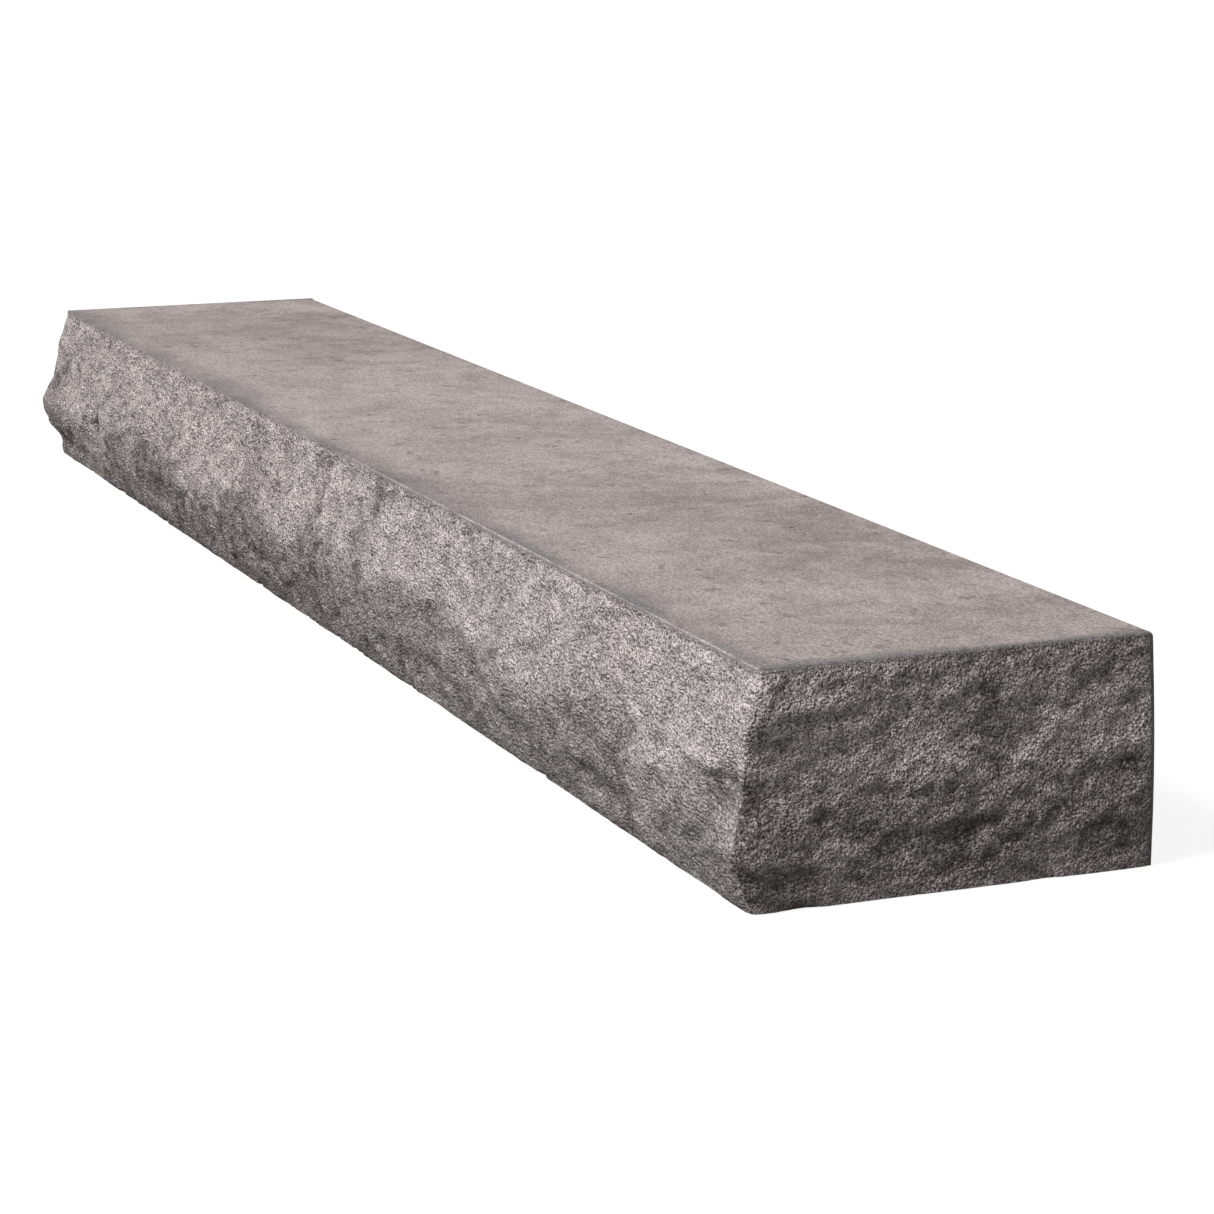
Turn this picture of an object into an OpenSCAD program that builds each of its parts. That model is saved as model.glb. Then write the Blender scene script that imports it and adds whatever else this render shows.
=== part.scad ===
// Rock-faced precast concrete kerb and step unit: a long reinforced slab with a smooth
// flat top, a plain back, a rough rock-faced front and two rough rock-faced ends.
// The length runs along X, the rock front faces -Y, the plain back faces +Y, +Z is up.
// The origin is on the ground, under the middle of the unit.

/* [Unit] */
// Length of the flat top, between its end arrises
top_length = 1766; // [1400:2:2200]
// Depth of the flat top, from the front arris to the back face
top_depth = 272; // [220:1:360]
// Height of the unit
unit_height = 152; // [125:1:200]
// Height of the eased arris round the top
arris_height = 3; // [2:0.5:8]
// How far the eased arris steps out, top to foot
arris_ease = 2; // [1:0.5:5]

/* [Rock faces] */
// How far the rock front swells past its top arris
front_swell = 20; // [6:1:30]
// How far the front's bottom edge stands proud of its top arris
front_batter = 9; // [0:1:14]
// How far the rock ends swell past their top arris
end_swell = 12; // [4:1:24]
// How far an end's bottom edge stands proud of its top arris
end_batter = 9; // [0:1:14]
// Depth of the small broken facets
rock_relief = 5; // [0:0.5:8]
// Size of one broken facet
facet_size = 18; // [15:1:30]
// Size of one broad lump of the rock face
lump_size = 95; // [60:5:160]

/* [Reinforcement] */
// Concrete cover over the steel
cover = 35; // [30:1:40]
// Diameter of the four long bars
bar_d = 10; // [8:1:12]
// Diameter of the hoop bar
hoop_d = 6; // [5:0.5:8]
// Inside radius of a hoop's bends
hoop_bend_r = 12; // [11:1:16]
// Number of hoops along the unit
hoop_count = 9; // [5:2:9]
// Diameter of the annealed tie wire
wire_d = 1.4; // [1:0.1:2]
// Length of a tie's twisted end
tie_tail = 11; // [6:1:16]
// Plan size of a cover block
block_w = 40; // [30:1:50]

/* [Lifting sockets] */
// Outside diameter of a lifting socket
socket_d = 22; // [21:0.5:26]
// Length of a lifting socket
socket_length = 72; // [66:1:90]
// Radius of the socket's M16 thread at its crests
thread_r = 6.9; // [6.5:0.1:7.5]
// Depth of the socket's threaded hole
thread_depth = 40; // [30:1:42]
// Depth of the socket's mouth below the back face
recess_depth = 10; // [5:1:15]
// Radius of the mouth recess at the back face
recess_mouth_r = 24; // [18:1:26]
// Radius of the mouth recess at the socket
recess_foot_r = 19; // [14:1:22]
// Diameter of the anchor bar through a socket
anchor_d = 12; // [10:1:12]
// Length of an anchor bar
anchor_length = 300; // [250:10:360]

/* [Hidden] */
$fn = 48;
// running clearance between pieces of steel, filled by cement paste
steel_gap = 0.3;
// least room between a long bar and a lifting socket
socket_clear = 2;
// how far the long bars run on past the end hoops
bar_overhang = 30;
// share of the height, from the top, where the rock faces stand out the most
swell_place = 0.6;
// least share of the swell that a rock face has anywhere
least_swell = 0.4;
// share of an end's relief that is left at its back arris
back_share = 0.8;
// seeds of the broad lumps and of the small facets
lump_seed = 142;
facet_seed = 17;
// thickness of a tie's twisted end, in wires
twist = 1.6;
// how far a cutting solid runs past the face that it cuts
past = 1;

front_proud = front_swell + front_batter * swell_place;
back_y = (top_depth + front_proud) / 2;
front_y = back_y - top_depth;
mid_y = (back_y + front_y) / 2;

bar_length = top_length - 2 * cover;
// the long bars sit inside the hoops' bends, this far out from the centre of a bend
nest = (hoop_bend_r - bar_d / 2 - steel_gap) * cos(45);

// hoops: the outline through the middle of the bar, high enough for a socket between bars
hoop_r = hoop_bend_r + hoop_d / 2;
hoop_depth = top_depth - 2 * cover - hoop_d;
hoop_height = max(unit_height - 2 * cover - hoop_d,
    socket_d + bar_d + 2 * socket_clear + 2 * (hoop_r - nest));
hoop_z = unit_height / 2;
hoop_pitch = (bar_length - 2 * bar_overhang) / (hoop_count - 1);
// height of the cover blocks' seats above the bed
seat_z = (unit_height - hoop_height) / 2;

bar_side_y = hoop_depth / 2 - hoop_r + nest;
bar_side_z = hoop_height / 2 - hoop_r + nest;

// ties: a ring round a hoop's bend and the bar that sits in it
tie_r = (bar_d + hoop_d + steel_gap) / 2 + 2 * steel_gap + wire_d / 2;
// its middle, out from the centre of the bend
tie_middle = hoop_bend_r + (hoop_d - bar_d - steel_gap) / 2;

// lifting sockets: half way between two hoops, about a fifth of the length from each end
socket_x = hoop_pitch * (floor(hoop_count / 4) + 0.5);
socket_mouth_y = back_y - recess_depth;
// the anchor bar crosses a socket near its inner end
anchor_place = socket_length - anchor_d;

// rock grid
columns = round(top_length / facet_size);
end_columns = round(top_depth / facet_size);
rows = round(unit_height / facet_size);
levels = concat(
    [for (k = [0 : rows - 1]) (unit_height - arris_height) * k / (rows - 1)],
    [unit_height]);
lump_columns = ceil((top_length + 2 * top_depth) / lump_size) + 3;
lump_rows = 4;

// ---- rock relief -----------------------------------------------------------------

// random heights on a coarse net, for the broad lumps
lumps = rands(0, 1, lump_columns * lump_rows, lump_seed);
// one random height for each facet corner: front, right end and left end
facets = rands(0, 1, (columns + 2 * end_columns + 3) * (rows + 1), facet_seed);

function ease(t) = t * t * (3 - 2 * t);
function blend(a, b, t) = a + (b - a) * ease(t);
function lump_at(i, j) = lumps[j * lump_columns + i];

// broad lump height from 0 to 1 at distance along the rock face and share of the height
function lump(along, share) =
    let (u = along / lump_size, v = share * (lump_rows - 1),
         i = floor(u), j = min(floor(v), lump_rows - 2))
    blend(blend(lump_at(i, j), lump_at(i + 1, j), u - i),
          blend(lump_at(i, j + 1), lump_at(i + 1, j + 1), u - i), v - j);

// shape of the swell from the top (0) to the bottom (1)
function swell(down) = sin(180 * pow(down, ln(0.5) / ln(swell_place)));

// how far a rock face stands out at a level; column counts along front and ends together
function rock(column, level, swell_depth, batter) =
    let (z = levels[level],
         down = 1 - z / unit_height,
         share = least_swell + (1 - least_swell) * lump(column * facet_size, down),
         chip = facets[column * (rows + 1) + level] * rock_relief)
    level == rows ? 0
    : level == rows - 1 ? arris_ease - chip / 4
    : level == 0 ? batter - chip / 4
    : batter * down + swell(down) * share * swell_depth - chip;

function front_out(i, level) = rock(i + end_columns + 1, level, front_swell, front_batter);
function right_out(j, level) =
    rock(j + columns + end_columns + 2, level, end_swell, end_batter)
    * (j == end_columns ? back_share : 1);
function left_out(j, level) =
    rock(end_columns - j, level, end_swell, end_batter) * (j == end_columns ? back_share : 1);

// one closed ring of points round the unit at a level
function ring(level) =
    let (z = levels[level],
         half = top_length / 2,
         right_front = half + right_out(0, level),
         left_front = half + left_out(0, level),
         right_back = half + right_out(end_columns, level),
         left_back = half + left_out(end_columns, level))
    concat(
        [for (i = [0 : columns]) let (u = 2 * i / columns - 1)
            [u * (u > 0 ? right_front : left_front), front_y - front_out(i, level), z]],
        [for (j = [1 : end_columns - 1]) let (v = j / end_columns)
            [half + right_out(j, level),
             back_y - (1 - v) * (top_depth + front_out(columns, level)), z]],
        [for (i = [columns : -1 : 0]) let (u = 2 * i / columns - 1)
            [u * (u > 0 ? right_back : left_back), back_y, z]],
        [for (j = [end_columns - 1 : -1 : 1]) let (v = j / end_columns)
            [-half - left_out(j, level),
             back_y - (1 - v) * (top_depth + front_out(0, level)), z]]);

ring_size = 2 * (columns + 1) + 2 * (end_columns - 1);

// spine points along the middle of the flat top and of the bed, one for each column
first_spine = ceil(top_depth / 2 / top_length * columns);
function spine(z) = [for (i = [first_spine : columns - first_spine])
    [(i / columns - 0.5) * top_length, mid_y, z]];
// the column beside a ring point, and the spine point that it joins
function column_of(p) =
    p <= columns ? p
    : p < columns + end_columns ? columns
    : p <= 2 * columns + end_columns ? 2 * columns + end_columns - p
    : 0;
function spine_of(p) =
    max(first_spine, min(columns - first_spine, column_of(p))) - first_spine;

// triangles between neighbouring rings, with their diagonals turned in alternate cells
wall_faces = [
    for (k = [0 : rows - 1]) for (p = [0 : ring_size - 1])
        let (q = (p + 1) % ring_size, a = k * ring_size, b = a + ring_size)
        each (p + k) % 2 == 1
            ? [[a + p, b + p, b + q], [a + p, b + q, a + q]]
            : [[a + p, b + p, a + q], [a + q, b + p, b + q]]];

function turned(face, up) = up ? [face[2], face[1], face[0]] : face;

// triangles of a flat face between the ring and the spine that start at these points
function flat_faces(ring_start, spine_start, up) = [
    for (p = [0 : ring_size - 1])
        let (q = (p + 1) % ring_size,
             a = ring_start + p, b = ring_start + q,
             c = spine_start + spine_of(p), d = spine_start + spine_of(q))
        each c == d ? [turned([a, b, c], up)]
            : [turned([a, b, c], up), turned([b, d, c], up)]];

// the casting before its steel, blocks and recesses are taken out
module rock_block() {
    rings = [for (k = [0 : rows]) each ring(k)];
    bed_spine = spine(0);
    top_spine = spine(unit_height);
    polyhedron(
        points = concat(rings, bed_spine, top_spine),
        faces = concat(wall_faces,
            flat_faces(0, len(rings), false),
            flat_faces(rows * ring_size, len(rings) + len(bed_spine), true)));
}

// ---- steel -----------------------------------------------------------------------

// places the hoop's own plane, with its middle at the origin, across the unit
module across(x) {
    translate([x, mid_y, hoop_z]) rotate([90, 0, 90]) children();
}

function hoop_x(i) = (i - (hoop_count + 1) / 2) * hoop_pitch;

// a long bar at one corner of the cage
module long_bar(side, height) {
    color("dimgray")
        translate([-bar_length / 2, mid_y + side * bar_side_y, hoop_z + height * bar_side_z])
            rotate([0, 90, 0]) cylinder(d = bar_d, h = bar_length);
}

// one welded hoop: four straight legs and four bends
module hoop(i) {
    leg_y = hoop_depth / 2 - hoop_r;
    leg_z = hoop_height / 2 - hoop_r;
    color("gray")
        across(hoop_x(i)) {
            for (s = [-1, 1]) {
                translate([-leg_y, s * hoop_height / 2, 0]) rotate([0, 90, 0])
                    cylinder(d = hoop_d, h = 2 * leg_y);
                translate([s * hoop_depth / 2, leg_z, 0]) rotate([90, 0, 0])
                    cylinder(d = hoop_d, h = 2 * leg_z);
            }
            for (a = [0 : 3])
                translate([(a == 0 || a == 3 ? 1 : -1) * leg_y, (a < 2 ? 1 : -1) * leg_z, 0])
                    rotate([0, 0, a * 90]) rotate_extrude(angle = 90)
                        translate([hoop_r, 0]) circle(d = hoop_d);
        }
}

// one wire tie: a slanting ring round a bar and a hoop's bend, and its twisted end
module tie(i, side, height) {
    across(hoop_x(i))
        translate([side * (hoop_depth / 2 - hoop_r), height * (hoop_height / 2 - hoop_r), 0])
            rotate([0, 0, atan2(height, side)]) translate([tie_middle, 0, 0])
                rotate([45, 0, 0]) {
                    rotate_extrude() translate([tie_r, 0]) circle(d = wire_d);
                    translate([-tie_r, 0, 0]) rotate([0, -90, 0])
                        cylinder(d = twist * wire_d, h = tie_tail);
                }
}

module tie_wires() {
    color("silver")
        for (i = [1 : hoop_count], side = [-1, 1], height = [-1, 1]) tie(i, side, height);
}

// ---- cover blocks ----------------------------------------------------------------

// the blocks stand on the bed under the hoops next to the ends and the middle hoop
module block_places() {
    for (i = [2, (hoop_count + 1) / 2, hoop_count - 1], side = [-1, 1])
        translate([hoop_x(i), mid_y + side * hoop_depth / 4, 0]) children();
}

module block_blank() {
    translate([-block_w / 2, -block_w / 2, 0]) cube([block_w, block_w, seat_z]);
}

module cover_blocks() {
    color("lightgray")
        block_places() difference() {
            block_blank();
            translate([0, block_w, seat_z]) rotate([90, 0, 0])
                cylinder(d = hoop_d, h = 2 * block_w);
        }
}

// ---- lifting sockets -------------------------------------------------------------

// a socket's own frame: its mouth at the origin, +Z into the unit
module at_socket(side) {
    translate([side * socket_x, socket_mouth_y, hoop_z]) rotate([90, 0, 0]) children();
}

module lifting_socket(side) {
    color("gainsboro")
        at_socket(side) difference() {
            cylinder(d = socket_d, h = socket_length);
            translate([0, 0, -past]) cylinder(r = thread_r, h = thread_depth + past);
            translate([-socket_d, 0, anchor_place]) rotate([0, 90, 0])
                cylinder(d = anchor_d + 2 * steel_gap, h = 2 * socket_d);
        }
}

module anchor_bar(side) {
    color("dimgray")
        at_socket(side) translate([-anchor_length / 2, 0, anchor_place]) rotate([0, 90, 0])
            cylinder(d = anchor_d, h = anchor_length);
}

// the room that a socket, its clearance hole and its mouth recess take in the concrete
module socket_room(side) {
    flare = (recess_mouth_r - recess_foot_r) / recess_depth;
    at_socket(side) {
        translate([0, 0, -past]) cylinder(d = socket_d, h = socket_length + past);
        translate([0, 0, -recess_depth - past])
            cylinder(r1 = recess_mouth_r + flare * past, r2 = recess_foot_r,
                h = recess_depth + past);
    }
}

// ---- concrete --------------------------------------------------------------------

module concrete_body() {
    color([0.63, 0.60, 0.58])
        difference() {
            rock_block();
            for (side = [-1, 1], height = [-1, 1]) long_bar(side, height);
            for (i = [1 : hoop_count]) hoop(i);
            tie_wires();
            block_places() block_blank();
            for (side = [-1, 1]) {
                socket_room(side);
                anchor_bar(side);
            }
        }
}

concrete_body();
long_bar(-1, 1);  // front_top_bar
long_bar(-1, -1);  // front_bottom_bar
long_bar(1, 1);  // rear_top_bar
long_bar(1, -1);  // rear_bottom_bar
for (i = [1 : hoop_count])
    hoop(i);
tie_wires();
cover_blocks();
lifting_socket(-1);  // lifting_socket_left
lifting_socket(1);  // lifting_socket_right
anchor_bar(-1);  // anchor_bar_left
anchor_bar(1);  // anchor_bar_right
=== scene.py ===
"""Looks of a rock-faced precast concrete kerb and step unit, laid over its fixed CAD frame.

The concrete casting is built here as one fine mesh: a smooth flat top with an eased arris,
a rock-faced front, two rock-faced ends, and a plain back and bed with their recesses. The
steel, the cover blocks and the sockets keep their CAD shapes and get their finishes here.
"""

import logging
import math
from dataclasses import dataclass, field
from enum import Enum

import bmesh
import bpy
import numpy as np
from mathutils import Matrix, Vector


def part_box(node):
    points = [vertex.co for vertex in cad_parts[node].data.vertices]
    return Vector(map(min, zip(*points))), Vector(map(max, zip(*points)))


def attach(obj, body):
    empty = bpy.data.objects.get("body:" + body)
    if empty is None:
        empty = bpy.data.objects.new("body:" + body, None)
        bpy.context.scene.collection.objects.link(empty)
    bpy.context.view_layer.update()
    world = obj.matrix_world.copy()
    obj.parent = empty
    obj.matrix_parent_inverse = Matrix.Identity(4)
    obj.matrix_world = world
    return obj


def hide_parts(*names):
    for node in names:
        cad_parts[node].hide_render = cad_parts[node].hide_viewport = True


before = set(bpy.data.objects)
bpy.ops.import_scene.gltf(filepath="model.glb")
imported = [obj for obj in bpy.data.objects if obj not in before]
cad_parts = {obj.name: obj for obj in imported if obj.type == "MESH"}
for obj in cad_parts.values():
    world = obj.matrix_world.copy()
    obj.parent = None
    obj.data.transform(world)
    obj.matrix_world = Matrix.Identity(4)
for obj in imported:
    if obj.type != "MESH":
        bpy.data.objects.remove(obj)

log = logging.getLogger("kerb_unit")
Colour = tuple[float, float, float]


def box_of(node: str) -> tuple[Vector, Vector]:
    """Gives a CAD node's lowest and highest corners, in metres."""
    low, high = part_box(node)
    return Vector(low), Vector(high)


# ---- relief ------------------------------------------------------------------------


class ReliefNoise:
    """Seeded noise over a rock face, for points given as arrays of u and v."""

    def __init__(self, seed: int) -> None:
        """Shuffles the table that every hash is read from.

        Args:
            seed: number that fixes the pattern.
        """
        self.table = np.random.default_rng(seed).permutation(256)

    def chance(self, i: np.ndarray, j: np.ndarray, channel: int) -> np.ndarray:
        """Gives a fixed random share for each whole-numbered cell.

        Args:
            i: cell columns.
            j: cell rows.
            channel: which of the cell's random numbers to read.

        Returns:
            Numbers from 0 to 1.
        """
        t = self.table
        return t[(t[(t[i & 255] + j) & 255] + 37 * channel) & 255] / 255.0

    def smooth(self, u: np.ndarray, v: np.ndarray) -> np.ndarray:
        """Gives gradient noise of about -1 to 1 with one wave to a unit.

        Args:
            u: place along the face, in waves.
            v: place up the face, in waves.

        Returns:
            The noise at each point.
        """
        i, j = np.floor(u).astype(int), np.floor(v).astype(int)
        x, y = u - i, v - j
        total = np.zeros_like(u)
        for di in (0, 1):
            for dj in (0, 1):
                angle = 2 * math.pi * self.chance(i + di, j + dj, 1)
                slope = np.cos(angle) * (x - di) + np.sin(angle) * (y - dj)
                wx = 1 - x if di == 0 else x
                wy = 1 - y if dj == 0 else y
                total += slope * wx * wx * (3 - 2 * wx) * wy * wy * (3 - 2 * wy)
        full_range = 1.5
        return full_range * total

    def fractal(self, u: np.ndarray, v: np.ndarray, octaves: int) -> np.ndarray:
        """Adds finer and weaker octaves of smooth noise, each shifted so that none lines up.

        Args:
            u: place along the face, in waves of the first octave.
            v: place up the face, in the same waves.
            octaves: how many octaves to add.

        Returns:
            The noise at each point.
        """
        total = np.zeros_like(u)
        for k in range(octaves):
            total += self.smooth(u * 2**k + 17.3 * k, v * 2**k - 9.1 * k) * 0.5**k
        return total

    def chips(self, u: np.ndarray, v: np.ndarray, crispness: float) -> np.ndarray:
        """Gives flat tilted facets that meet in ridges, as where stone has split.

        Args:
            u: place along the face, in facets.
            v: place up the face, in facets.
            crispness: how sharp the ridges between facets are.

        Returns:
            Facet heights of about -1 to 1.
        """
        steepness = 1.3
        i, j = np.floor(u).astype(int), np.floor(v).astype(int)
        total = np.zeros_like(u)
        weights = np.zeros_like(u)
        for di in (-1, 0, 1):
            for dj in (-1, 0, 1):
                ci, cj = i + di, j + dj
                x = u - (ci + self.chance(ci, cj, 2))
                y = v - (cj + self.chance(ci, cj, 3))
                weight = np.exp(-crispness * (x * x + y * y))
                tilt_x = 2 * self.chance(ci, cj, 4) - 1
                tilt_y = 2 * self.chance(ci, cj, 5) - 1
                rise = self.chance(ci, cj, 6) - 0.5
                total += weight * (steepness * tilt_x * x + steepness * tilt_y * y + rise)
                weights += weight
        return total / np.maximum(weights, 1e-9)


@dataclass(frozen=True)
class Knob:
    """A single lump or hollow of a rock face, at a place along and up the unit's skin."""

    along: float
    up: float
    width: float
    height: float
    rise: float

    def shape(self, s: np.ndarray, z: np.ndarray) -> np.ndarray:
        """Gives the lump's rise at each point of the skin.

        Args:
            s: distance along the skin from the middle of the front, in metres.
            z: height, in metres.

        Returns:
            The rise in metres.
        """
        fall = ((s - self.along) / self.width) ** 2 + ((z - self.up) / self.height) ** 2
        return self.rise * np.exp(-fall)


@dataclass(frozen=True)
class RockFace:
    """How one broken face stands out from the arris above it.

    Depths and sizes are in metres, and sizes are given along and up the face. swell_place is
    how far down the swell is greatest, as a share of the height.
    """

    swell: float
    batter: float
    swell_place: float
    facet_depth: float
    chip_depth: float
    grit_depth: float
    swell_size: tuple[float, float] = (0.21, 0.13)
    facet_size: tuple[float, float] = (0.070, 0.044)
    chip_size: tuple[float, float] = (0.023, 0.016)
    grit_size: float = 0.010
    warp_size: float = 0.045
    warp_reach: float = 0.010
    calm_foot: float = 0.018

    def depth(self, noise: ReliefNoise, s: np.ndarray, z: np.ndarray, height: float) -> np.ndarray:
        """Works out the relief at each point of the skin.

        The numbers added to places only shift one layer of noise against the next.

        Args:
            noise: the unit's noise.
            s: distance along the skin, in metres.
            z: height of each point, in metres.
            height: the unit's height.

        Returns:
            How far each point stands out, in metres.
        """
        down = np.clip(1 - z / height, 0, 1)
        swell = np.sin(math.pi * down ** (math.log(0.5) / math.log(self.swell_place)))
        along, up = self.swell_size
        share = np.clip(0.74 + 0.26 * noise.fractal(s / along, z / up + 3.7, 2), 0.3, 1.1)
        warp = self.warp_reach * noise.fractal(s / self.warp_size, z / self.warp_size, 2)
        along, up = self.facet_size
        facets = noise.chips((s + warp) / along, (z - warp) / up + 5.2, crispness=11.0)
        along, up = self.chip_size
        chips = noise.chips((s + 0.6 * warp) / along + 40.0, (z + 0.6 * warp) / up,
                            crispness=9.0)
        grit = noise.fractal(s / self.grit_size + 11.0, z / self.grit_size, 2)
        broken = (self.facet_depth * facets + self.chip_depth * chips
                  + self.grit_depth * grit)
        calm = np.clip(0.2 + z / self.calm_foot, 0, 1)
        return self.batter * down + self.swell * swell * share + broken * calm


# ---- node building -----------------------------------------------------------------


class Wiring:
    """Small helper that places and links the nodes of one material or group."""

    def __init__(self, tree: bpy.types.NodeTree) -> None:
        """Keeps the tree to build in.

        Args:
            tree: the material's or group's node tree.
        """
        self.tree = tree
        self.step = 0

    def add(self, kind: str, **settings: object) -> bpy.types.Node:
        """Adds one node.

        Args:
            kind: the node's type name.
            settings: properties of the node to set.

        Returns:
            The new node.
        """
        node = self.tree.nodes.new(kind)
        node.location = (170 * (self.step // 6), -230 * (self.step % 6))
        self.step += 1
        for name, value in settings.items():
            setattr(node, name, value)
        return node

    def link(self, target: bpy.types.NodeSocket, source: object) -> None:
        """Feeds a socket from another socket, or sets its value.

        Args:
            target: the input socket.
            source: an output socket, a number or a colour.
        """
        if isinstance(source, bpy.types.NodeSocket):
            self.tree.links.new(source, target)
        elif target.type == "RGBA":
            target.default_value = (*source, 1.0)
        else:
            target.default_value = source

    def math(self, operation: str, *values: object, clamp: bool = False) -> bpy.types.NodeSocket:
        """Adds a Math node.

        Args:
            operation: the operation's name.
            values: its inputs, as sockets or numbers.
            clamp: whether to keep the result from 0 to 1.

        Returns:
            The result socket.
        """
        node = self.add("ShaderNodeMath", operation=operation, use_clamp=clamp)
        for target, value in zip(node.inputs, values):
            self.link(target, value)
        return node.outputs[0]

    def ramp(self, value: object, low: float, high: float, out_low: float = 0.0,
             out_high: float = 1.0) -> bpy.types.NodeSocket:
        """Eases a value from one range into another, and clamps it there.

        Args:
            value: the input socket.
            low: input that gives out_low.
            high: input that gives out_high.
            out_low: result at low.
            out_high: result at high.

        Returns:
            The result socket.
        """
        node = self.add("ShaderNodeMapRange", interpolation_type="SMOOTHSTEP", clamp=True)
        for name, item in zip(("Value", "From Min", "From Max", "To Min", "To Max"),
                              (value, low, high, out_low, out_high)):
            self.link(node.inputs[name], item)
        return node.outputs["Result"]

    def mix(self, share: object, first: object, second: object,
            blend: str = "MIX") -> bpy.types.NodeSocket:
        """Mixes two colours.

        Args:
            share: how much of the second colour shows.
            first: the first colour, as a socket or three numbers.
            second: the second colour.
            blend: the blend mode.

        Returns:
            The mixed colour.
        """
        node = self.add("ShaderNodeMix", data_type="RGBA", blend_type=blend, clamp_factor=True)
        self.link(node.inputs[0], share)
        self.link(node.inputs[6], first)
        self.link(node.inputs[7], second)
        return node.outputs[2]

    def grey(self, value: object) -> bpy.types.NodeSocket:
        """Turns a value into a grey of that brightness.

        Args:
            value: the brightness, as a socket or a number.

        Returns:
            The grey.
        """
        node = self.add("ShaderNodeCombineColor")
        for socket in node.inputs:
            self.link(socket, value)
        return node.outputs[0]

    def total(self, first: object, *others: object) -> bpy.types.NodeSocket:
        """Adds up values, and keeps the whole sum from 0 to 1.

        Args:
            first: the first value, as a socket or a number.
            others: the values to add to it.

        Returns:
            The sum.
        """
        for k, other in enumerate(others, 1):
            first = self.math("ADD", first, other, clamp=k == len(others))
        return first

    def noise(self, vector: object, size: object, detail: float = 2.0,
              roughness: float = 0.5, stretch: float = 0.0) -> bpy.types.NodeSocket:
        """Adds a Noise texture whose waves are about a given size.

        Args:
            vector: the place socket.
            size: wave size in metres, as a number or a socket.
            detail: how many finer octaves to add.
            roughness: how strong the finer octaves are.
            stretch: how far the pattern is warped.

        Returns:
            The noise, from 0 to 1.
        """
        node = self.add("ShaderNodeTexNoise", noise_dimensions="3D")
        self.link(node.inputs["Vector"], vector)
        scale = 1 / size if isinstance(size, float) else self.math("DIVIDE", 1.0, size)
        self.link(node.inputs["Scale"], scale)
        node.inputs["Detail"].default_value = detail
        node.inputs["Roughness"].default_value = roughness
        node.inputs["Distortion"].default_value = stretch
        return node.outputs["Fac"]

    def cells(self, vector: object, size: object) -> bpy.types.Node:
        """Adds a Voronoi texture whose cells are about a given size.

        Args:
            vector: the place socket.
            size: cell size in metres, as a number or a socket.

        Returns:
            The texture node.
        """
        node = self.add("ShaderNodeTexVoronoi", voronoi_dimensions="3D", feature="F1")
        self.link(node.inputs["Vector"], vector)
        scale = 1 / size if isinstance(size, float) else self.math("DIVIDE", 1.0, size)
        self.link(node.inputs["Scale"], scale)
        return node


@dataclass
class EffectGroup:
    """A shader node group with named inputs and outputs, built once and placed often."""

    name: str
    inputs: dict[str, tuple[str, object]]
    outputs: dict[str, str]
    tree: bpy.types.NodeTree = field(init=False)

    def open(self) -> tuple[Wiring, bpy.types.Node, bpy.types.Node]:
        """Makes the empty group.

        Returns:
            The wiring helper, the group's input node and its output node.
        """
        self.tree = bpy.data.node_groups.new(self.name, "ShaderNodeTree")
        for name, (kind, value) in self.inputs.items():
            socket = self.tree.interface.new_socket(name, in_out="INPUT", socket_type=kind)
            if value is not None:
                socket.default_value = value
        for name, kind in self.outputs.items():
            self.tree.interface.new_socket(name, in_out="OUTPUT", socket_type=kind)
        wiring = Wiring(self.tree)
        return wiring, wiring.add("NodeGroupInput"), wiring.add("NodeGroupOutput")

    def place(self, wiring: Wiring, **values: object) -> bpy.types.Node:
        """Puts the group in a material.

        Args:
            wiring: the material's wiring helper.
            values: what feeds each input, with underscores for spaces.

        Returns:
            The group node.
        """
        node = wiring.add("ShaderNodeGroup", node_tree=self.tree)
        for name, value in values.items():
            wiring.link(node.inputs[name.replace("_", " ")], value)
        return node


FLOAT = "NodeSocketFloat"
VECTOR = "NodeSocketVector"


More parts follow.
